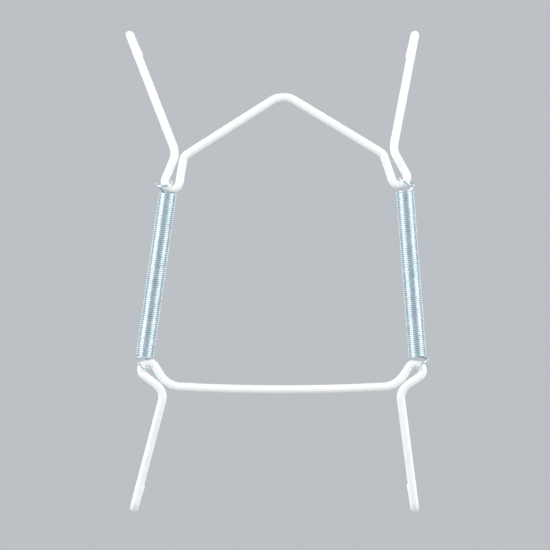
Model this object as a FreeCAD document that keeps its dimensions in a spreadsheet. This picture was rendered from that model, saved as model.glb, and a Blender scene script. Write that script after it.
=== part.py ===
"""Wire plate hanger: two bent and coated wires joined by two extension springs.

Millimetres. The origin is the nail's seat under the peak of the upper wire, +Z is up the wall,
+X is to the right for someone who faces the wall side of the hanger, and +Y points to the plate.
"""
import FreeCAD, Part
import math
import os

from FreeCAD import Placement, Rotation, Vector

# Name, value (millimetres or degrees) and meaning of each driving dimension
DIMENSIONS = [
    ("wire_diameter", 1.83, "both wires, over the coating"),
    ("tip_bead", 2.1, "diameter of the coating's bead on each wire end"),
    ("peak_inside", 3.9, "inside radius of the peak, which sits on the nail"),
    ("gable_run", 22.3, "straight run of each gable slope"),
    ("gable_corner_inside", 1.1, "inside radius where a slope turns into an eye"),
    ("upper_left_leg_run", 5.0, "straight inner leg of the upper left eye"),
    ("upper_right_leg_run", 5.25, "straight inner leg of the upper right eye"),
    ("upper_left_eye_inside", 0.7, "inside radius of the upper left eye"),
    ("upper_right_eye_inside", 0.8, "inside radius of the upper right eye"),
    ("upper_return_run", 4.2, "straight outer leg of an upper eye"),
    ("upper_neck_inside", 3.5, "inside radius where an upper eye turns into its arm"),
    ("upper_hook_rise", 15.0, "height of the upper hooks over the nail's seat"),
    ("left_slope_angle", 32.4, "left gable slope, from level"),
    ("right_slope_angle", 31.2, "right gable slope, from level"),
    ("upper_left_leg_lean", 9.3, "inner leg of the upper left eye, from upright"),
    ("upper_right_leg_lean", 18.5, "inner leg of the upper right eye, from upright"),
    ("upper_left_return_lean", 23.0, "outer leg of the upper left eye, from upright"),
    ("upper_right_return_lean", 29.6, "outer leg of the upper right eye, from upright"),
    ("upper_left_arm_lean", 21.4, "upper left arm, from upright"),
    ("upper_right_arm_lean", 11.0, "upper right arm, from upright"),
    ("bar_drop", 64.0, "middle of the lower bar below the nail's seat"),
    ("bar_shift", 0.3, "how far the lower wire sits to the left of the peak"),
    ("bar_half", 22.6, "half length of the lower bar"),
    ("bar_bow", 0.6, "bow of the lower bar at its middle"),
    ("bar_corner_inside", 4.7, "inside radius where the bar turns into an eye"),
    ("lower_leg_run", 2.3, "straight inner leg of a lower eye"),
    ("lower_eye_inside", 0.7, "inside radius of a lower eye"),
    ("lower_neck_gap", 0.1, "gap between the two legs of a lower eye, as if both ran straight"),
    ("lower_neck_inside", 2.6, "inside radius where a lower eye turns into its arm"),
    ("lower_hook_drop", 26.6, "depth of the lower hooks below the middle of the bar"),
    ("lower_left_leg_lean", 31.9, "inner leg of the lower left eye, from upright"),
    ("lower_right_leg_lean", 33.5, "inner leg of the lower right eye, from upright"),
    ("lower_left_return_lean", 53.2, "outer leg of the lower left eye, from upright"),
    ("lower_right_return_lean", 56.2, "outer leg of the lower right eye, from upright"),
    ("lower_left_arm_lean", 14.8, "lower left arm, from upright"),
    ("lower_right_arm_lean", 7.5, "lower right arm, from upright"),
    ("arm_pitch", 11.0, "slope of every arm towards the plate"),
    ("hook_inside", 1.3, "inside radius of the two bends of a rim hook"),
    ("hook_throat", 5.5, "room for the plate's rim between arm and lip"),
    ("lip_run", 3.2, "straight lip of a rim hook"),
    ("lip_flare", 14.0, "opening angle of the lip, away from the arm"),
    ("spring_outer", 4.0, "outside diameter of a spring's coil"),
    ("spring_wire", 0.44, "diameter of a spring's wire"),
    ("turn_gap", 0.015, "gap between a spring's turns"),
    ("groove_depth", 0.19, "depth of the groove between two turns"),
    ("loop_clearance", 0.25, "gap between a spring's loop and the eye that it pulls on"),
    ("loop_diameter", 3.5, "diameter of a loop's centre line"),
    ("loop_leave", 75.0, "how far before its outermost point a loop leaves the coil"),
    ("loop_turn", 300.0, "length of a loop, from its outermost point to its cut end"),
    ("seat_lean", 20.0, "where a loop lies in its eye, out from upright"),
    ("upper_left_loop_lean", 84.0, "lean of the upper left loop out from upright"),
    ("upper_right_loop_lean", 63.0, "lean of the upper right loop out from upright"),
    ("lower_left_loop_lean", 49.0, "lean of the lower left loop out from upright"),
    ("lower_right_loop_lean", 53.0, "lean of the lower right loop out from upright"),
    ("upper_left_loop_roll", 22.0, "roll of the upper left loop, its wall side to the coil"),
    ("upper_right_loop_roll", 9.0, "roll of the upper right loop, its wall side to the coil"),
    ("lower_left_loop_roll", -16.0, "roll of the lower left loop, its wall side to the coil"),
    ("lower_right_loop_roll", 9.0, "roll of the lower right loop, its wall side to the coil"),
    ("upper_left_coil_out", 0.96, "left coil's upper end, out from its eye's centre"),
    ("upper_right_coil_out", 1.25, "right coil's upper end, out from its eye's centre"),
    ("lower_left_coil_out", 0.86, "left coil's lower end, out from its eye's centre"),
    ("lower_right_coil_out", 0.5, "right coil's lower end, out from its eye's centre"),
    ("upper_left_coil_off", 2.66, "left coil's upper end, below its eye's centre"),
    ("upper_right_coil_off", 3.2, "right coil's upper end, below its eye's centre"),
    ("lower_left_coil_off", 3.02, "left coil's lower end, above its eye's centre"),
    ("lower_right_coil_off", 3.12, "right coil's lower end, above its eye's centre"),
]

doc = FreeCAD.newDocument("plate_hanger")
dims = doc.addObject("Spreadsheet::Sheet", "Dims")
for row, (alias, value, meaning) in enumerate(DIMENSIONS, start=1):
    dims.set(f"A{row}", meaning)
    dims.set(f"B{row}", str(value))
    dims.setAlias(f"B{row}", alias)
doc.recompute()

PLATE_SIDE = Vector(0, 1, 0)
WALL_SIDE = Vector(0, -1, 0)
LEFT, RIGHT = -1, 1
UP, DOWN = 1, -1
SIDE_NAMES = {LEFT: "left", RIGHT: "right"}

wire_radius = dims.wire_diameter / 2
spring_wire_radius = dims.spring_wire / 2
coil_radius = dims.spring_outer / 2 - spring_wire_radius


def sized(name, side):
    """The sheet's value for one side, such as upper_left_arm_lean for upper_{}_arm_lean."""
    return getattr(dims, name.format(SIDE_NAMES[side]))


def leaning(side, upright, angle):
    """Unit vector in the wall's plane that leans out to one side, with the angle taken from upright."""
    return Vector(side * math.sin(math.radians(angle)), 0, upright * math.cos(math.radians(angle)))


class BentWire:
    """Centre line of a bent wire: straight runs joined by tangent arcs."""

    def __init__(self, start, heading):
        self.point = start
        self.heading = heading
        self.edges = []

    def run(self, length):
        end = self.point + self.heading * length
        self.edges.append(Part.LineSegment(self.point, end).toShape())
        self.point = end

    def bend(self, heading, inside_radius):
        """Turn to a new heading, round a pin of the given radius; gives the arc's centre."""
        radius = inside_radius + wire_radius
        turn = self.heading.getAngle(heading)
        inward = (heading - self.heading * self.heading.dot(heading)).normalize()
        centre = self.point + inward * radius

        def along(angle):
            return centre + self.heading * (radius * math.sin(angle)) - inward * (radius * math.cos(angle))

        end = along(turn)
        self.edges.append(Part.Arc(self.point, along(turn / 2), end).toShape())
        self.point = end
        self.heading = Vector(heading)
        return centre

    def eye(self, heading, across, inside_radius):
        """Turn back through an eye: first across, then to the new heading; gives the eye's centre."""
        centre = self.bend(across, inside_radius)
        self.bend(heading, inside_radius)
        return centre

    def arm_and_hook(self, side, upright, lean, hook_height):
        """Slope out to the plate's rim, bend round it, and end in a lip that points back to the middle."""
        flat = leaning(side, upright, lean)
        pitch = math.radians(dims.arm_pitch)
        flare = math.radians(dims.lip_flare)
        hook_radius = dims.hook_inside + wire_radius
        to_corner = (hook_height - self.point.z) / self.heading.z
        corner_share = hook_radius * math.tan((math.pi / 2 - pitch) / 2)
        self.run(to_corner - corner_share)
        self.bend(PLATE_SIDE, dims.hook_inside)
        bends_depth = hook_radius * (math.cos(pitch) + math.cos(flare))
        self.run(dims.hook_throat + dims.wire_diameter - bends_depth)
        self.bend(PLATE_SIDE * math.sin(flare) - flat * math.cos(flare), dims.hook_inside)
        self.run(dims.lip_run)


def arm_heading(side, upright, lean):
    """Heading of an arm: out to one side, up or down, and towards the plate."""
    pitch = math.radians(dims.arm_pitch)
    return leaning(side, upright, lean) * math.cos(pitch) + PLATE_SIDE * math.sin(pitch)


def upper_half(side):
    """Centre line from the peak to one upper hook's lip, and the centre of its eye."""
    leg_lean = sized("upper_{}_leg_lean", side)
    arm_lean = sized("upper_{}_arm_lean", side)
    line = BentWire(Vector(0, 0, wire_radius), Vector(side, 0, 0))
    line.bend(leaning(side, DOWN, 90 - sized("{}_slope_angle", side)), dims.peak_inside)
    line.run(dims.gable_run)
    line.bend(leaning(side, DOWN, leg_lean), dims.gable_corner_inside)
    line.run(sized("upper_{}_leg_run", side))
    across = leaning(side, UP, 90 - leg_lean)
    back = leaning(-side, UP, sized("upper_{}_return_lean", side))
    eye = line.eye(back, across, sized("upper_{}_eye_inside", side))
    line.run(dims.upper_return_run)
    line.bend(arm_heading(side, UP, arm_lean), dims.upper_neck_inside)
    line.arm_and_hook(side, UP, arm_lean, dims.upper_hook_rise)
    return line, eye


def lower_half(side):
    """Centre line from the middle of the bar to one lower hook's lip, and the centre of its eye."""
    leg_lean = sized("lower_{}_leg_lean", side)
    return_lean = sized("lower_{}_return_lean", side)
    arm_lean = sized("lower_{}_arm_lean", side)
    line = BentWire(Vector(-dims.bar_shift, 0, -dims.bar_drop), Vector(side, 0, 0))
    bow_radius = (dims.bar_half**2 + dims.bar_bow**2) / (2 * dims.bar_bow)
    bow_angle = math.degrees(math.asin(dims.bar_half / bow_radius))
    line.bend(leaning(side, UP, 90 - bow_angle), bow_radius - wire_radius)
    line.bend(leaning(side, UP, leg_lean), dims.bar_corner_inside)
    line.run(dims.lower_leg_run)
    across = leaning(side, DOWN, 90 - leg_lean)
    eye = line.eye(leaning(-side, DOWN, return_lean), across, dims.lower_eye_inside)
    # The outer leg runs back until the neck of the eye is nearly closed
    closing = math.radians(return_lean - leg_lean)
    eye_width = (dims.lower_eye_inside + wire_radius) * (1 + math.cos(closing))
    line.run((eye_width - dims.wire_diameter - dims.lower_neck_gap) / math.sin(closing))
    line.bend(arm_heading(side, DOWN, arm_lean), dims.lower_neck_inside)
    line.arm_and_hook(side, DOWN, arm_lean, -dims.bar_drop - dims.lower_hook_drop)
    return line, eye


def add_path(name, edges):
    """A path object for a sweep, with its edges in order."""
    path = doc.addObject("Part::Feature", name)
    path.Shape = Part.Wire(Part.sortEdges(edges)[0])
    return path


def add_sweep(name, path, diameter):
    """Round wire along a path, with its diameter taken from the sheet."""
    edges = path.Shape.OrderedEdges
    start = edges[0].valueAt(edges[0].FirstParameter)
    tangent = edges[0].tangentAt(edges[0].FirstParameter)
    section = doc.addObject("Part::Circle", name + "_section")
    section.setExpression("Radius", f"Dims.{diameter} / 2")
    section.Placement = Placement(start, Rotation(Vector(0, 0, 1), tangent))
    sweep = doc.addObject("Part::Sweep", name)
    sweep.Sections = [section]
    sweep.Spine = (path, [f"Edge{number}" for number in range(1, len(edges) + 1)])
    sweep.Solid = True
    sweep.Frenet = False
    return sweep


def add_fuse(label, shapes):
    """One solid from several, under a node's name."""
    fuse = doc.addObject("Part::MultiFuse", label)
    fuse.Shapes = shapes
    fuse.Label = label
    return fuse


def add_wire(label, halves):
    """A bent wire of two halves that start at one point, with a bead on each end."""
    left, right = halves
    path = add_path(label + "_path", left.edges[::-1] + right.edges)
    shapes = [add_sweep(label + "_round", path, "wire_diameter")]
    for name, half in (("left", left), ("right", right)):
        bead = doc.addObject("Part::Sphere", f"{label}_{name}_bead")
        bead.setExpression("Radius", "Dims.tip_bead / 2")
        bead.Placement = Placement(half.point, Rotation())
        shapes.append(bead)
    return add_fuse(label, shapes)


def coil_profile(length):
    """Half section of a close-wound coil along +Z: a plain first and last turn, and a ridge for each turn between."""
    outer = dims.spring_outer / 2
    bore = outer - dims.spring_wire
    groove = outer - dims.groove_depth
    first = dims.spring_wire
    last = length - dims.spring_wire
    turns = max(1, round((last - first) / (dims.spring_wire + dims.turn_gap)))
    pitch = (last - first) / turns

    outline = [(bore, 0), (outer, 0), (outer, first)]
    for turn in range(turns):
        low = first + turn * pitch
        outline += [(groove, low), (outer, low + pitch / 2)]
    outline += [(groove, last), (outer, last), (outer, length), (bore, length), (bore, 0)]
    return Part.Face(Part.makePolygon([Vector(radius, 0, height) for radius, height in outline]))


def loop_edge(side, upright, seat, lean, roll, coil_end, outward, travel):
    """Centre line of a loop: it leaves the coil's last turn, lies on the seat in the eye and ends at its cut end."""
    out = leaning(side, upright, lean)
    to_coil = out.cross(PLATE_SIDE) * (side * upright * travel.dot(WALL_SIDE))
    across = travel * math.cos(math.radians(roll)) + to_coil * math.sin(math.radians(roll))
    radius = dims.loop_diameter / 2
    centre = seat + out * radius

    points = []
    steps = 15
    for step in range(steps + 1):
        angle = step / steps * (dims.loop_turn + dims.loop_leave) - dims.loop_leave
        turned = math.radians(angle)
        on_loop = centre + (out * math.cos(turned) + across * math.sin(turned)) * radius
        on_coil = coil_end + (outward * math.cos(turned) + travel * math.sin(turned)) * coil_radius
        share = min(1, 1 + angle / dims.loop_leave)
        smooth = share * share * (3 - 2 * share)
        points.append(on_coil * (1 - smooth) + on_loop * smooth)
    line = Part.BSplineCurve()
    line.interpolate(points)
    return line.toShape()


def add_spring(label, side, upper_eye, lower_eye):
    """An extension spring between two eyes: the sleeve of its close-wound turns, and a loop at each end."""
    ends = {}
    seats = {}
    for end, eye, upright, inside in (
        ("upper", upper_eye, DOWN, sized("upper_{}_eye_inside", side)),
        ("lower", lower_eye, UP, dims.lower_eye_inside),
    ):
        room = inside - spring_wire_radius - dims.loop_clearance
        seats[end] = eye + leaning(side, upright, dims.seat_lean) * room
        out = side * sized(end + "_{}_coil_out", side)
        ends[end] = eye + Vector(out, 0, upright * sized(end + "_{}_coil_off", side))

    axis = (ends["lower"] - ends["upper"]).normalize()
    outward = PLATE_SIDE.cross(axis) * -side
    base = ends["upper"] - axis * spring_wire_radius
    length = ends["upper"].distanceToPoint(ends["lower"]) + dims.spring_wire
    profile = doc.addObject("Part::Feature", label + "_profile")
    profile.Shape = coil_profile(length)
    coil = doc.addObject("Part::Revolution", label + "_coil")
    coil.Source = profile
    coil.Axis = Vector(0, 0, 1)
    coil.Angle = 360
    coil.Solid = True
    coil.Placement = Placement(base, Rotation(Vector(0, 0, 1), axis))

    # Each loop goes on from the coil's last turn, in the direction that the coil is wound
    shapes = [coil]
    wound = axis.cross(outward)
    for end, upright, travel in (("upper", DOWN, wound * -1), ("lower", UP, wound)):
        lean = sized(end + "_{}_loop_lean", side)
        roll = sized(end + "_{}_loop_roll", side)
        line = loop_edge(side, upright, seats[end], lean, roll, ends[end], outward, travel)
        path = add_path(f"{label}_{end}_path", [line])
        shapes.append(add_sweep(f"{label}_{end}_loop", path, "spring_wire"))
    return add_fuse(label, shapes)


upper_left, upper_left_eye = upper_half(LEFT)
upper_right, upper_right_eye = upper_half(RIGHT)
lower_left, lower_left_eye = lower_half(LEFT)
lower_right, lower_right_eye = lower_half(RIGHT)

nodes = [
    add_wire("upper_wire", (upper_left, upper_right)),
    add_wire("lower_wire", (lower_left, lower_right)),
    add_spring("left_spring", LEFT, upper_left_eye, lower_left_eye),
    add_spring("right_spring", RIGHT, upper_right_eye, lower_right_eye),
]
doc.recompute()

for item in doc.Objects:
    if "Invalid" in item.State or "Error" in item.State:
        raise RuntimeError(f"{item.Label} did not build: {item.State}")
os.makedirs("parts", exist_ok=True)
for node in nodes:
    if node.Shape.isNull() or not node.Shape.isValid():
        raise RuntimeError(f"{node.Label} has no valid shape")
    print(node.Label, len(node.Shape.Solids), "solid", round(node.Shape.Volume, 3), "mm3", node.Shape.BoundBox)
    node.Shape.exportStep(f"parts/{node.Label}.step")
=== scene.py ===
"""Wire plate hanger: coated wires, plated springs and a plain studio around them.

The frame is the hanger's own: the origin is the nail's seat under the peak, +Z is up the wall
and +Y points to the plate.
"""

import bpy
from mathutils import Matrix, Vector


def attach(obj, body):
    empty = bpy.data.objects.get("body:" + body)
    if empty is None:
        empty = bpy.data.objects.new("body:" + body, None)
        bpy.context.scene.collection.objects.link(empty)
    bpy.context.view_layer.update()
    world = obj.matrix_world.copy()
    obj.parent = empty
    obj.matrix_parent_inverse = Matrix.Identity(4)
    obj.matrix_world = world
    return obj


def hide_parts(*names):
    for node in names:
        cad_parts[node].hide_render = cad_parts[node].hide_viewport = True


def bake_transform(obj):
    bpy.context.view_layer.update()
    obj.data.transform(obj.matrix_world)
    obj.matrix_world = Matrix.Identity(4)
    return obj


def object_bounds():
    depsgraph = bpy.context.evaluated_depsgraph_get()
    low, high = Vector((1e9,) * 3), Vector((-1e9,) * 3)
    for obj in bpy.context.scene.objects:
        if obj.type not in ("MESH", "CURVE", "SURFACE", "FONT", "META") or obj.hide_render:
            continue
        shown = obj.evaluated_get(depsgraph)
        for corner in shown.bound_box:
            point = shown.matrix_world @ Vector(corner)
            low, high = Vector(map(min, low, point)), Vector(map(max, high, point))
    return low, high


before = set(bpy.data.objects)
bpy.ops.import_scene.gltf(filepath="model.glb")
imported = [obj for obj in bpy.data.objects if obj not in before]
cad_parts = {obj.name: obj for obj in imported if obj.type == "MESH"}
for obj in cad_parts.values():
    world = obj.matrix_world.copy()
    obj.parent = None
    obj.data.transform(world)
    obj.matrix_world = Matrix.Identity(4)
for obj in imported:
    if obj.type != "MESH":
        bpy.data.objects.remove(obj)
CAD_BOX = [list(corner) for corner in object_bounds()]

import math

import bpy
from bpy.props import (
    FloatProperty,
    FloatVectorProperty,
    IntProperty,
    PointerProperty,
    StringProperty,
)
from mathutils import Matrix, Vector

bl_info = {
    "name": "Wire plate hanger",
    "version": (1, 0, 0),
    "blender": (4, 5, 0),
    "location": "3D View > Sidebar > Hanger",
    "description": "Builds a sprung wire plate hanger in a plain studio",
    "category": "Add Mesh",
}

MM = 0.001
LEFT, RIGHT = -1, 1
UP, DOWN = 1, -1
PLATE_SIDE = Vector((0, 1, 0))
WALL_SIDE = Vector((0, -1, 0))
QUARTER_TURN = math.pi / 2

# Points on each bend of a wire, before its rings are spread evenly
BEND_POINTS = 40
# A bead has run back into its wire this many bead diameters from the end
BEAD_RUN = 2.0
# The last ring at each end of a wire shrinks to a point, whose corners are merged within this
TIP_MERGE = 0.001 * MM
# Points of the studio floor: up the sweep, and round the whole floor
SWEEP_STEPS = 12
ROUND_STEPS = 96
# Metres from the hanger to each softbox that stands on the floor
SOFTBOX_DISTANCE = 1.0
# Those softboxes: turn round the hanger from the camera in degrees, width and height in metres,
# and power in watts
SOFTBOXES = (
    ("left_softbox", -66, (1.0, 1.7), 13.0),
    ("right_softbox", 66, (1.0, 1.7), 12.0),
    ("front_softbox", 0, (1.2, 0.8), 1.0),
    ("back_left_softbox", -152, (0.7, 1.6), 4.0),
    ("back_right_softbox", 152, (0.7, 1.6), 4.0),
)
# The softbox overhead: its place from the picture's middle, then as above
TOP_SOFTBOX_PLACE = Vector((0, -0.1, 1.3))
TOP_SOFTBOX = ("top_softbox", (0.9, 0.9), 0.6)
# Strength of the even light from all around
AIR_LIGHT = 0.3


# Sizes and colours that a user would change

def length(name, millimetres, description):
    """A length property, with its default given in millimetres."""
    return FloatProperty(
        name=name,
        description=description,
        default=millimetres * MM,
        min=0,
        unit="LENGTH",
        precision=5,
    )


def place(name, millimetres, description):
    """A place on an axis of the frame, with its default given in millimetres."""
    return FloatProperty(
        name=name, description=description, default=millimetres * MM, unit="LENGTH"
    )


def angle(name, degrees, description):
    """An angle property, with its default given in degrees."""
    return FloatProperty(
        name=name, description=description, default=math.radians(degrees), unit="ROTATION"
    )


def side_angles(name, left, right, description):
    """One angle for each side of the hanger, with the defaults given in degrees."""
    return FloatVectorProperty(
        name=name,
        description=description,
        default=(math.radians(left), math.radians(right)),
        size=2,
        unit="ROTATION",
    )


def side_lengths(name, left, right, description):
    """One length for each side of the hanger, with the defaults given in millimetres."""
    return FloatVectorProperty(
        name=name,
        description=description,
        default=(left * MM, right * MM),
        size=2,
        min=0,
        unit="LENGTH",
        precision=5,
    )


def count(name, number, least, description):
    """A whole number, with its default and the least that it may be."""
    return IntProperty(name=name, description=description, default=number, min=least)


def shade(name, srgb, description):
    """A colour written as an sRGB hex value."""
    return StringProperty(name=name, description=description, default=srgb)


class WireStock(bpy.types.PropertyGroup):
    """The round wire that both forms are bent from, with its coating."""
    diameter: length("Diameter", 1.83, "Wire over its coating")
    bead: length("Bead", 2.1, "Bead of coating on each wire end")
    unevenness: length("Unevenness", 0.012, "How much the coating's thickness wanders")
    ring_spacing: length("Ring spacing", 0.24, "Distance between the mesh's rings along the wire")
    sides: count("Sides", 28, 8, "Faces round the wire")


class HookSizes(bpy.types.PropertyGroup):
    """The rim hook at the end of each arm."""
    pitch: angle("Arm pitch", 11, "Slope of the arms towards the plate")
    inside: length("Inside radius", 1.3, "Inside radius of the hook's two bends")
    throat: length("Throat", 5.5, "Room for the plate's rim between arm and lip")
    lip: length("Lip", 3.2, "Straight lip of the hook")
    flare: angle("Flare", 14, "Opening angle of the lip")


class UpperWireSizes(bpy.types.PropertyGroup):
    """The gabled wire that hangs on the nail."""
    peak: length("Peak", 3.9, "Inside radius of the peak")
    gable: length("Gable", 22.3, "Straight run of each slope")
    corner: length("Corner", 1.1, "Inside radius where a slope turns into an eye")
    leg: side_lengths("Leg", 5.0, 5.25, "Straight inner legs of the eyes, left and right")
    eye: side_lengths("Eye", 0.7, 0.8, "Inside radius of the eyes, left and right")
    back: length("Return", 4.2, "Straight outer leg of an eye")
    neck: length("Neck", 3.5, "Inside radius where an eye turns into its arm")
    hook_rise: length("Hook rise", 15.0, "Height of the hooks over the nail's seat")
    slope: side_angles("Slope", 32.4, 31.2, "Gable slopes, left and right, from level")
    leg_lean: side_angles("Leg lean", 9.3, 18.5, "Inner legs, left and right, from upright")
    back_lean: side_angles("Return lean", 23.0, 29.6, "Outer legs, left and right, from upright")
    arm_lean: side_angles("Arm lean", 21.4, 11.0, "Arms, left and right, from upright")


class LowerWireSizes(bpy.types.PropertyGroup):
    """The barred wire that the springs pull up."""
    drop: length("Drop", 64.0, "Middle of the bar below the nail's seat")
    shift: length("Shift", 0.3, "How far the bar sits to the left of the peak")
    half_bar: length("Half bar", 22.6, "Half length of the bar")
    bow: length("Bow", 0.6, "Bow of the bar at its middle")
    corner: length("Corner", 4.7, "Inside radius where the bar turns into an eye")
    leg: length("Leg", 2.3, "Straight inner leg of an eye")
    eye: length("Eye", 0.7, "Inside radius of an eye")
    neck_gap: length("Neck gap", 0.1, "Gap between an eye's legs, as if both ran straight")
    neck: length("Neck", 2.6, "Inside radius where an eye turns into its arm")
    hook_drop: length("Hook drop", 26.6, "Depth of the hooks below the middle of the bar")
    leg_lean: side_angles("Leg lean", 31.9, 33.5, "Inner legs, left and right, from upright")
    back_lean: side_angles("Return lean", 53.2, 56.2, "Outer legs, left and right, from upright")
    arm_lean: side_angles("Arm lean", 14.8, 7.5, "Arms, left and right, from upright")


class SpringSizes(bpy.types.PropertyGroup):
    """The two close-wound extension springs; each pair of values is left and right."""
    outer: length("Outside", 4.0, "Outside diameter of the coil")
    wire: length("Wire", 0.44, "Diameter of the spring's wire")
    turn_gap: length("Turn gap", 0.015, "Gap between two turns at rest")
    clearance: length("Clearance", 0.25, "Gap between a loop and its eye")
    loop: length("Loop", 3.5, "Diameter of a loop's centre line")
    leave: angle("Leave", 75, "How far before its outermost point a loop leaves the coil")
    loop_turn: angle("Loop turn", 300, "A loop from its outermost point to its cut end")
    seat_lean: angle("Seat lean", 20, "Where a loop lies in its eye, out from upright")
    upper_lean: side_angles("Upper lean", 84, 63, "Upper loops, out from upright")
    lower_lean: side_angles("Lower lean", 49, 53, "Lower loops, out from upright")
    upper_roll: side_angles("Upper roll", 22, 9, "Upper loops, their wall side to the coil")
    lower_roll: side_angles("Lower roll", -16, 9, "Lower loops, their wall side to the coil")
    upper_out: side_lengths("Upper end out", 0.96, 1.25, "Coil's upper end, out from its eye")
    lower_out: side_lengths("Lower end out", 0.86, 0.5, "Coil's lower end, out from its eye")
    upper_off: side_lengths("Upper end off", 2.66, 3.2, "Coil's upper end, below its eye")
    lower_off: side_lengths("Lower end off", 3.02, 3.12, "Coil's lower end, above its eye")
    turn_points: count("Points per turn", 40, 12, "Rings along one turn")
    sides: count("Sides", 12, 6, "Faces round the spring's wire")


class FinishColours(bpy.types.PropertyGroup):
    """Colours of the finishes, as sRGB hex values."""
    coat: shade("Coating", "FAFAF8", "White dipped coating")
    coat_thin: shade("Thin coating", "F1F3F3", "Coating where it is thinnest over the steel")
    zinc: shade("Zinc", "E6F3F8", "Bright zinc with a clear blue passivation")
    zinc_blue: shade("Zinc blue", "D8EAF3", "Zinc where the passivation is thickest")
    zinc_dull: shade("Zinc dull", "D3DDE1", "Handled zinc")
    floor: shade("Floor", "505253", "Share of the studio's light that the floor gives back")
    floor_glow: shade("Floor glow", "B6BABE", "Even glow of the pale studio floor")


class StudioSizes(bpy.types.PropertyGroup):
    """Camera and floor."""
    view_width: length("View width", 122.2, "Width of the picture at the wire's plane")
    view_x: place("View X", -1.88, "Sideways place of the picture's middle")
    view_z: place("View Z", -38.6, "Height of the picture's middle")
    distance: length("Distance", 1600, "Camera to the wire's plane")
    floor_drop: length("Floor drop", 80, "Room under the hanger for its stretched springs")
    floor_radius: length("Floor radius", 3400, "Flat part of the round floor")
    sweep_radius: length("Sweep radius", 900, "Curve from the floor up to the backdrop")
    wall_height: length("Wall height", 3500, "Height of the backdrop")


class HangerSettings(bpy.types.PropertyGroup):
    """All settings of the hanger and its studio."""
    stock: PointerProperty(type=WireStock)
    hook: PointerProperty(type=HookSizes)
    upper: PointerProperty(type=UpperWireSizes)
    lower: PointerProperty(type=LowerWireSizes)
    spring: PointerProperty(type=SpringSizes)
    colours: PointerProperty(type=FinishColours)
    studio: PointerProperty(type=StudioSizes)


# Node trees and materials

def add_node(tree, kind, inputs=None, **settings):
    """Add a node with its settings; an input is linked if it is a socket, and else set."""
    node = tree.nodes.new(kind)
    for name, value in settings.items():
        setattr(node, name, value)
    for key, value in (inputs or {}).items():
        if isinstance(value, bpy.types.NodeSocket):
            tree.links.new(value, node.inputs[key])
        else:
            node.inputs[key].default_value = value
    return node


def linear(srgb):
    """Linear colour, with alpha, of an sRGB hex value."""
    parts = [int(srgb[start : start + 2], 16) / 255 for start in (0, 2, 4)]
    colour = [
        part / 12.92 if part <= 0.04045 else ((part + 0.055) / 1.055) ** 2.4 for part in parts
    ]
    return colour + [1.0]


def new_material(name):
    """A material, its node tree and its shader."""
    material = bpy.data.materials.new(name)
    material.use_nodes = True
    tree = material.node_tree
    return material, tree, tree.nodes["Principled BSDF"]


def dipped_coating(colours):
    """White plastic dipped over steel wire: a soft gloss, slow waves and a faint peel."""
    material, tree, shader = new_material("white_dipped_coating")
    shader.inputs["IOR"].default_value = 1.5
    shader.inputs["Coat Weight"].default_value = 0.15
    shader.inputs["Coat Roughness"].default_value = 0.12
    spot = add_node(tree, "ShaderNodeTexCoord").outputs["Object"]
    # The coating's thickness wanders over about 3 mm, and the steel greys it where it is thin
    cloud = add_node(
        tree, "ShaderNodeTexNoise", {"Vector": spot, "Scale": 1 / (3 * MM), "Detail": 3.0}
    ).outputs["Fac"]
    thin = add_node(
        tree,
        "ShaderNodeMapRange",
        {"Value": cloud, "From Min": 0.52, "From Max": 0.78},
        interpolation_type="SMOOTHSTEP",
    )
    tint = add_node(tree, "ShaderNodeMix", {"Factor": thin.outputs["Result"]}, data_type="RGBA")
    tint.inputs["A"].default_value = linear(colours.coat)
    tint.inputs["B"].default_value = linear(colours.coat_thin)
    tree.links.new(tint.outputs["Result"], shader.inputs["Base Color"])
    gloss = add_node(
        tree,
        "ShaderNodeMapRange",
        {"Value": cloud, "From Min": 0.3, "From Max": 0.7, "To Min": 0.26, "To Max": 0.4},
    )
    tree.links.new(gloss.outputs["Result"], shader.inputs["Roughness"])
    # The peel of a dipped coat, 0.5 mm across
    peel = add_node(
        tree, "ShaderNodeTexNoise", {"Vector": spot, "Scale": 1 / (0.5 * MM), "Detail": 2.0}
    ).outputs["Fac"]
    bump = add_node(
        tree, "ShaderNodeBump", {"Height": peel, "Strength": 0.06, "Distance": 0.02 * MM}
    )
    tree.links.new(bump.outputs["Normal"], shader.inputs["Normal"])
    return material


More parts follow.
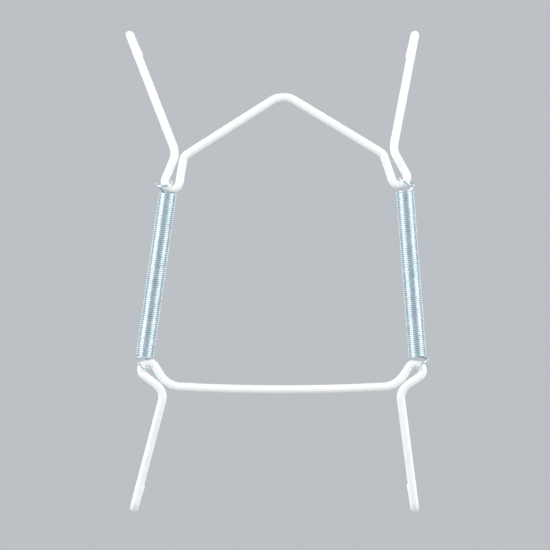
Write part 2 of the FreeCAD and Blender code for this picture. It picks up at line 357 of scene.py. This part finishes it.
def zinc_plate(colours):
    """Bright zinc on drawn spring wire: a cool metal with cloudy patches and a drawn grain."""
    material, tree, shader = new_material("bright_zinc_plate")
    shader.inputs["Metallic"].default_value = 1.0
    # The grain spreads the light across each turn, so the coil shows bands along its length
    grain = add_node(tree, "ShaderNodeAttribute", attribute_name="wire_heading")
    tree.links.new(grain.outputs["Vector"], shader.inputs["Tangent"])
    shader.inputs["Anisotropic"].default_value = 0.9
    shader.inputs["Anisotropic Rotation"].default_value = 0.25
    spot = add_node(tree, "ShaderNodeTexCoord").outputs["Object"]
    # The passivation is bluer in clouds, 2.5 mm across
    cloud = add_node(
        tree, "ShaderNodeTexNoise", {"Vector": spot, "Scale": 1 / (2.5 * MM), "Detail": 3.0}
    ).outputs["Fac"]
    blue = add_node(
        tree,
        "ShaderNodeMapRange",
        {"Value": cloud, "From Min": 0.4, "From Max": 0.7},
        interpolation_type="SMOOTHSTEP",
    )
    tint = add_node(tree, "ShaderNodeMix", {"Factor": blue.outputs["Result"]}, data_type="RGBA")
    tint.inputs["A"].default_value = linear(colours.zinc)
    tint.inputs["B"].default_value = linear(colours.zinc_blue)
    # Handling dulls patches of the plate, 1.8 mm across
    patch = add_node(
        tree, "ShaderNodeTexNoise", {"Vector": spot, "Scale": 1 / (1.8 * MM), "Detail": 2.0}
    ).outputs["Fac"]
    dull = add_node(
        tree,
        "ShaderNodeMapRange",
        {"Value": patch, "From Min": 0.55, "From Max": 0.75, "To Max": 0.6},
    )
    worn = add_node(
        tree,
        "ShaderNodeMix",
        {"Factor": dull.outputs["Result"], "A": tint.outputs["Result"]},
        data_type="RGBA",
    )
    worn.inputs["B"].default_value = linear(colours.zinc_dull)
    tree.links.new(worn.outputs["Result"], shader.inputs["Base Color"])
    rough = add_node(
        tree,
        "ShaderNodeMapRange",
        {"Value": patch, "From Min": 0.3, "From Max": 0.7, "To Min": 0.49, "To Max": 0.56},
    )
    tree.links.new(rough.outputs["Result"], shader.inputs["Roughness"])
    return material


def new_tree(name, inputs):
    """A geometry tree with named inputs, and the sockets that give them."""
    tree = bpy.data.node_groups.new(name, "GeometryNodeTree")
    for label, kind in inputs.items():
        tree.interface.new_socket(label, in_out="INPUT", socket_type="NodeSocket" + kind)
    tree.interface.new_socket("Piece", in_out="OUTPUT", socket_type="NodeSocketGeometry")
    return tree, add_node(tree, "NodeGroupInput").outputs


def end_tree(tree, mesh, material):
    """Close a geometry tree: smooth faces, real geometry and its material."""
    smooth = add_node(tree, "GeometryNodeSetShadeSmooth", {"Geometry": mesh})
    real = add_node(
        tree, "GeometryNodeRealizeInstances", {"Geometry": smooth.outputs["Geometry"]}
    )
    dressed = add_node(
        tree,
        "GeometryNodeSetMaterial",
        {"Geometry": real.outputs["Geometry"], "Material": material},
    )
    add_node(tree, "NodeGroupOutput", {"Piece": dressed.outputs["Geometry"]})


def grow(name, tree, base, values):
    """Run a geometry tree on a base mesh, and keep what it makes as a plain mesh."""
    source = bpy.data.objects.new(name + "_base", base)
    bpy.context.scene.collection.objects.link(source)
    modifier = source.modifiers.new("Shape", "NODES")
    modifier.node_group = tree
    for socket in tree.interface.items_tree:
        if socket.in_out == "INPUT" and socket.name in values:
            modifier[socket.identifier] = values[socket.name]
    depsgraph = bpy.context.evaluated_depsgraph_get()
    mesh = bpy.data.meshes.new_from_object(
        source.evaluated_get(depsgraph), preserve_all_data_layers=True, depsgraph=depsgraph
    )
    bpy.data.objects.remove(source)
    if not mesh.polygons:
        raise RuntimeError(f"{name} came out empty")
    mesh.name = name
    piece = bpy.data.objects.new(name, mesh)
    bpy.context.scene.collection.objects.link(piece)
    return piece


# Bent wires

def leaning(side, upright, lean):
    """Unit vector in the wall's plane that leans out to one side from upright."""
    return Vector((side * math.sin(lean), 0, upright * math.cos(lean)))


class BentWire:
    """Corners of a wire's centre line, with the radius that each is bent to."""

    def __init__(self, start, heading, wire_radius):
        self.point = start
        self.heading = heading
        self.wire_radius = wire_radius
        self.corners = [start]
        self.radii = [0.0]

    def run(self, distance):
        """Go straight on."""
        self.point = self.point + self.heading * distance

    def bend(self, heading, inside_radius):
        """Turn to a new heading round a pin of the given radius; gives the bend's centre."""
        radius = inside_radius + self.wire_radius
        inward = (heading - self.heading * self.heading.dot(heading)).normalized()
        centre = self.point + inward * radius
        reach = radius * math.tan(self.heading.angle(heading) / 2)
        corner = self.point + self.heading * reach
        self.corners.append(corner)
        self.radii.append(radius)
        self.point = corner + heading * reach
        self.heading = heading
        return centre

    def arm_and_hook(self, hook, side, upright, lean, height):
        """Slope out to the plate's rim, bend round it, and end in a lip that points back."""
        radius = hook.inside + self.wire_radius
        share = radius * math.tan((QUARTER_TURN - hook.pitch) / 2)
        self.run((height - self.point.z) / self.heading.z - share)
        self.bend(PLATE_SIDE, hook.inside)
        bends = radius * (math.cos(hook.pitch) + math.cos(hook.flare))
        self.run(hook.throat + 2 * self.wire_radius - bends)
        back = leaning(side, upright, lean) * math.cos(hook.flare)
        self.bend(PLATE_SIDE * math.sin(hook.flare) - back, hook.inside)
        self.run(hook.lip)


def arm_heading(hook, side, upright, lean):
    """Heading of an arm: out to one side, up or down, and towards the plate."""
    return leaning(side, upright, lean) * math.cos(hook.pitch) + PLATE_SIDE * math.sin(hook.pitch)


def upper_half(settings, side):
    """The wire from the peak to one upper hook's lip, and the centre of its eye."""
    sizes, hook = settings.upper, settings.hook
    pick = 0 if side == LEFT else 1
    radius = settings.stock.diameter / 2
    line = BentWire(Vector((0, 0, radius)), Vector((side, 0, 0)), radius)
    line.bend(leaning(side, DOWN, QUARTER_TURN - sizes.slope[pick]), sizes.peak)
    line.run(sizes.gable)
    line.bend(leaning(side, DOWN, sizes.leg_lean[pick]), sizes.corner)
    line.run(sizes.leg[pick])
    eye = line.bend(leaning(side, UP, QUARTER_TURN - sizes.leg_lean[pick]), sizes.eye[pick])
    line.bend(leaning(-side, UP, sizes.back_lean[pick]), sizes.eye[pick])
    line.run(sizes.back)
    line.bend(arm_heading(hook, side, UP, sizes.arm_lean[pick]), sizes.neck)
    line.arm_and_hook(hook, side, UP, sizes.arm_lean[pick], sizes.hook_rise)
    return line, eye


def lower_half(settings, side):
    """The wire from the middle of the bar to one lower hook's lip, and its eye's centre."""
    sizes, hook = settings.lower, settings.hook
    pick = 0 if side == LEFT else 1
    radius = settings.stock.diameter / 2
    leg_lean, back_lean = sizes.leg_lean[pick], sizes.back_lean[pick]
    line = BentWire(Vector((-sizes.shift, 0, -sizes.drop)), Vector((side, 0, 0)), radius)
    bow_radius = (sizes.half_bar**2 + sizes.bow**2) / (2 * sizes.bow)
    bow_angle = math.asin(sizes.half_bar / bow_radius)
    line.bend(leaning(side, UP, QUARTER_TURN - bow_angle), bow_radius - radius)
    line.bend(leaning(side, UP, leg_lean), sizes.corner)
    line.run(sizes.leg)
    eye = line.bend(leaning(side, DOWN, QUARTER_TURN - leg_lean), sizes.eye)
    line.bend(leaning(-side, DOWN, back_lean), sizes.eye)
    # The outer leg runs back until the neck of the eye is nearly closed
    closing = back_lean - leg_lean
    width = (sizes.eye + radius) * (1 + math.cos(closing))
    line.run((width - 2 * radius - sizes.neck_gap) / math.sin(closing))
    line.bend(arm_heading(hook, side, DOWN, sizes.arm_lean[pick]), sizes.neck)
    line.arm_and_hook(hook, side, DOWN, sizes.arm_lean[pick], -sizes.drop - sizes.hook_drop)
    return line, eye


def wire_tree(material):
    """Geometry tree that rounds a line of corners and sweeps a coated wire along it."""
    tree, given = new_tree(
        "Coated wire",
        {
            "Corners": "Geometry",
            "Wire diameter": "Float",
            "Bead diameter": "Float",
            "Unevenness": "Float",
            "Ring spacing": "Float",
            "Sides": "Int",
        },
    )
    line = add_node(tree, "GeometryNodeMeshToCurve", {"Mesh": given["Corners"]})
    bend = add_node(
        tree, "GeometryNodeInputNamedAttribute", {"Name": "bend_radius"}, data_type="FLOAT"
    )
    rounded = add_node(
        tree,
        "GeometryNodeFilletCurve",
        {"Curve": line.outputs["Curve"], "Radius": bend.outputs["Attribute"]},
        mode="POLY",
    )
    rounded.inputs["Count"].default_value = BEND_POINTS
    rings = add_node(
        tree, "GeometryNodeResampleCurve", {"Curve": rounded.outputs["Curve"]}, mode="LENGTH"
    )
    tree.links.new(given["Ring spacing"], rings.inputs["Length"])

    # Each end closes in a bead: a half ball that runs back into the wire
    along = add_node(tree, "GeometryNodeSplineParameter").outputs["Length"]
    whole = add_node(tree, "GeometryNodeSplineLength").outputs["Length"]
    rest = add_node(tree, "ShaderNodeMath", {0: whole, 1: along}, operation="SUBTRACT")
    from_end = add_node(
        tree, "ShaderNodeMath", {0: along, 1: rest.outputs[0]}, operation="MINIMUM"
    ).outputs[0]
    wire_radius = add_node(
        tree, "ShaderNodeMath", {0: given["Wire diameter"], 1: 0.5}, operation="MULTIPLY"
    ).outputs[0]
    bead_radius = add_node(
        tree, "ShaderNodeMath", {0: given["Bead diameter"], 1: 0.5}, operation="MULTIPLY"
    ).outputs[0]
    neck_end = add_node(
        tree, "ShaderNodeMath", {0: given["Bead diameter"], 1: BEAD_RUN}, operation="MULTIPLY"
    ).outputs[0]
    neck = add_node(
        tree,
        "ShaderNodeMapRange",
        {
            "Value": from_end,
            "From Min": bead_radius,
            "From Max": neck_end,
            "To Min": bead_radius,
            "To Max": wire_radius,
        },
        interpolation_type="SMOOTHSTEP",
    )
    depth = add_node(
        tree, "ShaderNodeMath", {0: from_end, 1: bead_radius}, operation="DIVIDE", use_clamp=True
    )
    short = add_node(
        tree, "ShaderNodeMath", {0: 1.0, 1: depth.outputs[0]}, operation="SUBTRACT"
    ).outputs[0]
    square = add_node(tree, "ShaderNodeMath", {0: short, 1: short}, operation="MULTIPLY")
    inside = add_node(
        tree,
        "ShaderNodeMath",
        {0: 1.0, 1: square.outputs[0]},
        operation="SUBTRACT",
        use_clamp=True,
    )
    ball = add_node(tree, "ShaderNodeMath", {0: inside.outputs[0]}, operation="SQRT")
    width = add_node(
        tree,
        "ShaderNodeMath",
        {0: neck.outputs["Result"], 1: ball.outputs[0]},
        operation="MULTIPLY",
    )

    section = add_node(
        tree,
        "GeometryNodeCurvePrimitiveCircle",
        {"Resolution": given["Sides"], "Radius": 1.0},
    )
    tube = add_node(
        tree,
        "GeometryNodeCurveToMesh",
        {
            "Curve": rings.outputs["Curve"],
            "Profile Curve": section.outputs["Curve"],
            "Scale": width.outputs[0],
        },
    )
    closed = add_node(
        tree,
        "GeometryNodeMergeByDistance",
        {"Geometry": tube.outputs["Mesh"], "Distance": TIP_MERGE},
    )

    # The coating is thinner here and there, in slow waves of about 4 mm
    wave = add_node(tree, "ShaderNodeTexNoise", {"Scale": 1 / (4 * MM), "Detail": 1.0})
    thinner = add_node(
        tree,
        "ShaderNodeMath",
        {0: wave.outputs["Fac"], 1: given["Unevenness"]},
        operation="MULTIPLY",
    )
    negative = add_node(
        tree, "ShaderNodeMath", {0: thinner.outputs[0], 1: -1.0}, operation="MULTIPLY"
    )
    normal = add_node(tree, "GeometryNodeInputNormal")
    inward = add_node(
        tree,
        "ShaderNodeVectorMath",
        {0: normal.outputs["Normal"], "Scale": negative.outputs[0]},
        operation="SCALE",
    )
    uneven = add_node(
        tree,
        "GeometryNodeSetPosition",
        {"Geometry": closed.outputs["Geometry"], "Offset": inward.outputs["Vector"]},
    )
    end_tree(tree, uneven.outputs["Geometry"], material)
    return tree


def corner_mesh(name, halves, overrun):
    """Mesh of a wire's corners in order, with their bends; its ends reach on by the overrun."""
    left, right = halves
    for half in halves:
        half.run(overrun)
        half.corners.append(half.point)
        half.radii.append(0.0)
    points = left.corners[::-1] + right.corners[1:]
    radii = left.radii[::-1] + right.radii[1:]
    mesh = bpy.data.meshes.new(name + "_corners")
    mesh.from_pydata(points, [(start, start + 1) for start in range(len(points) - 1)], [])
    mesh.attributes.new("bend_radius", "FLOAT", "POINT").data.foreach_set("value", radii)
    return mesh


def make_wire(settings, name, half, body, node):
    """One coated wire that rides on its body and stands for its node."""
    stock = settings.stock
    material = bpy.data.materials.get("white_dipped_coating") or dipped_coating(settings.colours)
    halves = [half(settings, side)[0] for side in (LEFT, RIGHT)]
    tree = bpy.data.node_groups.get("Coated wire") or wire_tree(material)
    values = {
        "Wire diameter": stock.diameter,
        "Bead diameter": stock.bead,
        "Unevenness": stock.unevenness,
        "Ring spacing": stock.ring_spacing,
        "Sides": stock.sides,
    }
    wire = grow(name, tree, corner_mesh(name, halves, stock.bead / 2), values)
    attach(wire, body)
    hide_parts(node)


# Springs

def turned_to(x_axis, y_axis):
    """Euler angles that turn X and Y to the given unit vectors."""
    return Matrix((x_axis, y_axis, x_axis.cross(y_axis))).transposed().to_euler()


def spring_tree(material):
    """Geometry tree of an extension spring: one wire through a loop, the turns and a loop."""
    tree, given = new_tree(
        "Extension spring",
        {
            "Loops": "Geometry",
            "Wire diameter": "Float",
            "Coil radius": "Float",
            "Coil length": "Float",
            "Turns": "Float",
            "Coil place": "Vector",
            "Coil angles": "Vector",
            "Points per turn": "Int",
            "Sides": "Int",
        },
    )
    coil = add_node(
        tree,
        "GeometryNodeCurveSpiral",
        {
            "Resolution": given["Points per turn"],
            "Rotations": given["Turns"],
            "Start Radius": given["Coil radius"],
            "End Radius": given["Coil radius"],
            "Height": given["Coil length"],
            "Reverse": True,
        },
    )
    # The coil's points come between the two loops, and share out the stretch along its length
    curve = coil.outputs["Curve"]
    factor = add_node(tree, "GeometryNodeSplineParameter").outputs["Factor"]
    for name in ("wire_order", "stretch_share"):
        marked = add_node(
            tree,
            "GeometryNodeStoreNamedAttribute",
            {"Geometry": curve, "Name": name, "Value": factor},
        )
        curve = marked.outputs["Geometry"]
    placed = add_node(
        tree,
        "GeometryNodeTransform",
        {"Geometry": curve, "Translation": given["Coil place"], "Rotation": given["Coil angles"]},
    )
    turns = add_node(
        tree,
        "GeometryNodeCurveToPoints",
        {"Curve": placed.outputs["Geometry"]},
        mode="EVALUATED",
    )
    loops = add_node(tree, "GeometryNodeMeshToPoints", {"Mesh": given["Loops"]})
    points = add_node(tree, "GeometryNodeJoinGeometry", {"Geometry": turns.outputs["Points"]})
    tree.links.new(loops.outputs["Points"], points.inputs["Geometry"])
    order = add_node(
        tree, "GeometryNodeInputNamedAttribute", {"Name": "wire_order"}, data_type="FLOAT"
    )
    line = add_node(
        tree,
        "GeometryNodePointsToCurves",
        {"Points": points.outputs["Geometry"], "Weight": order.outputs["Attribute"]},
    )
    # The drawn grain of the wire follows its heading
    heading = add_node(tree, "GeometryNodeInputTangent")
    grained = add_node(
        tree,
        "GeometryNodeStoreNamedAttribute",
        {"Geometry": line.outputs["Curves"], "Name": "wire_heading"},
        data_type="FLOAT_VECTOR",
    )
    tree.links.new(heading.outputs["Tangent"], grained.inputs["Value"])
    radius = add_node(
        tree, "ShaderNodeMath", {0: given["Wire diameter"], 1: 0.5}, operation="MULTIPLY"
    )
    section = add_node(
        tree,
        "GeometryNodeCurvePrimitiveCircle",
        {"Resolution": given["Sides"], "Radius": radius.outputs[0]},
    )
    wire = add_node(
        tree,
        "GeometryNodeCurveToMesh",
        {
            "Curve": grained.outputs["Geometry"],
            "Profile Curve": section.outputs["Curve"],
            "Fill Caps": True,
        },
    )
    end_tree(tree, wire.outputs["Mesh"], material)
    return tree


class CoilEnd:
    """One end of a coil, with the loop that goes on from it into an eye."""

    def __init__(self, settings, side, end):
        sizes = settings.spring
        pick = 0 if side == LEFT else 1
        if end == "upper":
            eye, inside, upright = upper_half(settings, side)[1], settings.upper.eye[pick], DOWN
        else:
            eye, inside, upright = lower_half(settings, side)[1], settings.lower.eye, UP
        self.sizes = sizes
        self.turn_sign = side * upright
        self.roll = getattr(sizes, end + "_roll")[pick]
        self.out = leaning(side, upright, getattr(sizes, end + "_lean")[pick])
        seat_reach = inside - sizes.wire / 2 - sizes.clearance
        self.seat = eye + leaning(side, upright, sizes.seat_lean) * seat_reach
        out, off = getattr(sizes, end + "_out")[pick], getattr(sizes, end + "_off")[pick]
        self.centre = eye + Vector((side * out, 0, upright * off))

    def loop_points(self, outward, travel):
        """Points of the loop, from the one after the coil's last to the cut end."""
        sizes = self.sizes
        coil_radius = (sizes.outer - sizes.wire) / 2
        loop_radius = sizes.loop / 2
        to_coil = self.out.cross(PLATE_SIDE) * (self.turn_sign * travel.dot(WALL_SIDE))
        across = travel * math.cos(self.roll) + to_coil * math.sin(self.roll)
        middle = self.seat + self.out * loop_radius
        points = []
        steps = sizes.turn_points
        for step in range(1, steps + 1):
            turned = step / steps * (sizes.loop_turn + sizes.leave) - sizes.leave
            from_middle = self.out * math.cos(turned) + across * math.sin(turned)
            from_centre = outward * math.cos(turned) + travel * math.sin(turned)
            on_loop = middle + from_middle * loop_radius
            on_coil = self.centre + from_centre * coil_radius
            # The wire eases from the coil's circle to the loop's by the outermost point
            share = min(1, 1 + turned / sizes.leave)
            points.append(on_coil.lerp(on_loop, share * share * (3 - 2 * share)))
        return points


def loop_mesh(name, upper, lower):
    """Points of both loops, with their place along the wire before and after the coil's 0 to 1."""
    mesh = bpy.data.meshes.new(name)
    mesh.from_pydata(upper + lower, [], [])
    before = [-1.0 - step for step in range(len(upper))]
    after = [2.0 + step for step in range(len(lower))]
    mesh.attributes.new("wire_order", "FLOAT", "POINT").data.foreach_set("value", before + after)
    share = [0.0] * len(upper) + [1.0] * len(lower)
    mesh.attributes.new("stretch_share", "FLOAT", "POINT").data.foreach_set("value", share)
    return mesh


def make_spring(settings, side):
    """One extension spring between two eyes, with each point's share of a stretch stored on it."""
    sizes = settings.spring
    label = {LEFT: "left", RIGHT: "right"}[side]
    upper = CoilEnd(settings, side, "upper")
    lower = CoilEnd(settings, side, "lower")
    axis = (lower.centre - upper.centre).normalized()
    outward = PLATE_SIDE.cross(axis) * -side
    wound = axis.cross(outward)
    upper_loop = upper.loop_points(outward, -wound)
    lower_loop = lower.loop_points(outward, wound)
    start = outward * math.cos(sizes.leave) + wound * math.sin(sizes.leave)
    onward = wound * math.cos(sizes.leave) - outward * math.sin(sizes.leave)
    coil_length = (lower.centre - upper.centre).length

    material = bpy.data.materials.get("bright_zinc_plate") or zinc_plate(settings.colours)
    tree = bpy.data.node_groups.get("Extension spring") or spring_tree(material)
    values = {
        "Wire diameter": sizes.wire,
        "Coil radius": (sizes.outer - sizes.wire) / 2,
        "Coil length": coil_length,
        "Turns": round(coil_length / (sizes.wire + sizes.turn_gap)) - sizes.leave / math.pi,
        "Coil place": upper.centre,
        "Coil angles": turned_to(start, onward),
        "Points per turn": sizes.turn_points,
        "Sides": sizes.sides,
    }
    loops = loop_mesh(label + "_loops", upper_loop, lower_loop)
    spring = grow(label + "_spring_wire", tree, loops, values)
    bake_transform(spring)
    # Each point's share of the stretch is read back from the mesh
    share = [0.0] * len(spring.data.vertices)
    spring.data.attributes["stretch_share"].data.foreach_get("value", share)
    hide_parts(label + "_spring")


# Studio

def sweep_mesh(studio, level):
    """Round floor that curves up into a backdrop on every side."""
    profile = [(studio.floor_radius, level)]
    for step in range(1, SWEEP_STEPS + 1):
        turn = QUARTER_TURN * step / SWEEP_STEPS
        out = studio.sweep_radius * math.sin(turn)
        rise = studio.sweep_radius * (1 - math.cos(turn))
        profile.append((studio.floor_radius + out, level + rise))
    profile.append((studio.floor_radius + studio.sweep_radius, level + studio.wall_height))
    points = [(0.0, 0.0, level)]
    faces = []
    for row, (radius, height) in enumerate(profile):
        for step in range(ROUND_STEPS):
            around = 2 * math.pi * step / ROUND_STEPS
            points.append((radius * math.cos(around), radius * math.sin(around), height))
        first = 1 + row * ROUND_STEPS
        below = first - ROUND_STEPS
        for step in range(ROUND_STEPS):
            after = (step + 1) % ROUND_STEPS
            if row == 0:
                faces.append((0, first + step, first + after))
            else:
                faces.append((below + step, first + step, first + after, below + after))
    mesh = bpy.data.meshes.new("studio_floor")
    mesh.from_pydata(points, [], faces)
    mesh.polygons.foreach_set("use_smooth", [True] * len(mesh.polygons))
    return mesh


def matt_paper(colours):
    """Matt paper sweep, lit a little from behind so that it stays even."""
    material, _, shader = new_material("matt_paper")
    shader.inputs["Base Color"].default_value = linear(colours.floor)
    shader.inputs["Roughness"].default_value = 1.0
    shader.inputs["Specular IOR Level"].default_value = 0.0
    shader.inputs["Emission Color"].default_value = linear(colours.floor_glow)
    shader.inputs["Emission Strength"].default_value = 1.0
    return material


def add_softbox(name, spot, target, size, power):
    """A soft area light that faces the target and isn't seen itself."""
    light = bpy.data.lights.new(name, "AREA")
    light.shape = "RECTANGLE"
    light.size, light.size_y = size
    light.energy = power
    lamp = bpy.data.objects.new(name, light)
    bpy.context.scene.collection.objects.link(lamp)
    lamp.location = spot
    lamp.rotation_euler = (target - spot).to_track_quat("-Z", "Y").to_euler()
    lamp.visible_camera = False


def make_stage(settings):
    """Floor, lights and a camera that looks straight at the wall side of the hanger."""
    studio = settings.studio
    scene = bpy.context.scene
    level = CAD_BOX[0][2] - studio.floor_drop
    floor = bpy.data.objects.new("studio_floor", sweep_mesh(studio, level))
    floor.data.materials.append(matt_paper(settings.colours))
    scene.collection.objects.link(floor)

    middle = Vector((studio.view_x, 0, studio.view_z))
    for name, turn, size, power in SOFTBOXES:
        around = math.radians(turn)
        target = Vector((middle.x, 0, level + size[1] / 2))
        away = Vector((math.sin(around), -math.cos(around), 0)) * SOFTBOX_DISTANCE
        add_softbox(name, target + away, target, size, power)
    name, size, power = TOP_SOFTBOX
    add_softbox(name, middle + TOP_SOFTBOX_PLACE, middle, size, power)

    world = bpy.data.worlds.new("studio_air")
    world.use_nodes = True
    air = world.node_tree.nodes["Background"]
    air.inputs["Color"].default_value = (1.0, 1.0, 1.0, 1.0)
    air.inputs["Strength"].default_value = AIR_LIGHT
    scene.world = world
    scene.view_settings.view_transform = "Standard"

    lens = bpy.data.cameras.new("photo_camera")
    lens.sensor_width = 36.0
    lens.lens = lens.sensor_width * studio.distance / studio.view_width
    camera = bpy.data.objects.new("photo_camera", lens)
    scene.collection.objects.link(camera)
    camera.location = middle + WALL_SIDE * studio.distance
    camera.rotation_euler = (QUARTER_TURN, 0, 0)
    scene.camera = camera


# Operators and panel

class HANGER_OT_upper_wire(bpy.types.Operator):
    """Bend and coat the gabled upper wire"""
    bl_idname = "hanger.upper_wire"
    bl_label = "Upper wire"

    def execute(self, context):
        settings = context.scene.plate_hanger
        make_wire(settings, "upper_wire_coated", upper_half, "upper", "upper_wire")
        return {"FINISHED"}


class HANGER_OT_lower_wire(bpy.types.Operator):
    """Bend and coat the barred lower wire"""
    bl_idname = "hanger.lower_wire"
    bl_label = "Lower wire"

    def execute(self, context):
        settings = context.scene.plate_hanger
        make_wire(settings, "lower_wire_coated", lower_half, "lower", "lower_wire")
        return {"FINISHED"}


class HANGER_OT_springs(bpy.types.Operator):
    """Wind the two extension springs and hang them in the eyes"""
    bl_idname = "hanger.springs"
    bl_label = "Springs"

    def execute(self, context):
        for side in (LEFT, RIGHT):
            make_spring(context.scene.plate_hanger, side)
        return {"FINISHED"}


class HANGER_OT_stage(bpy.types.Operator):
    """Set up the floor, the lights and the camera"""
    bl_idname = "hanger.stage"
    bl_label = "Stage"

    def execute(self, context):
        make_stage(context.scene.plate_hanger)
        return {"FINISHED"}


OPERATORS = (HANGER_OT_upper_wire, HANGER_OT_lower_wire, HANGER_OT_springs, HANGER_OT_stage)


class HANGER_PT_panel(bpy.types.Panel):
    """Sizes, colours and steps of the plate hanger"""
    bl_idname = "HANGER_PT_panel"
    bl_label = "Wire plate hanger"
    bl_space_type = "VIEW_3D"
    bl_region_type = "UI"
    bl_category = "Hanger"

    def draw(self, context):
        settings = context.scene.plate_hanger
        for group in ("stock", "hook", "upper", "lower", "spring", "colours", "studio"):
            box = self.layout.box()
            box.label(text=group.capitalize())
            sizes = getattr(settings, group)
            for name in sizes.__annotations__:
                box.prop(sizes, name)
        for operator in OPERATORS:
            self.layout.operator(operator.bl_idname)


CLASSES = (
    WireStock,
    HookSizes,
    UpperWireSizes,
    LowerWireSizes,
    SpringSizes,
    FinishColours,
    StudioSizes,
    HangerSettings,
    *OPERATORS,
    HANGER_PT_panel,
)


def register():
    for item in CLASSES:
        bpy.utils.register_class(item)
    bpy.types.Scene.plate_hanger = PointerProperty(type=HangerSettings)


def unregister():
    del bpy.types.Scene.plate_hanger
    for item in reversed(CLASSES):
        bpy.utils.unregister_class(item)


def main():
    register()
    bpy.ops.hanger.upper_wire()
    bpy.ops.hanger.lower_wire()
    bpy.ops.hanger.springs()
    bpy.ops.hanger.stage()


if __name__ == "__main__":
    main()
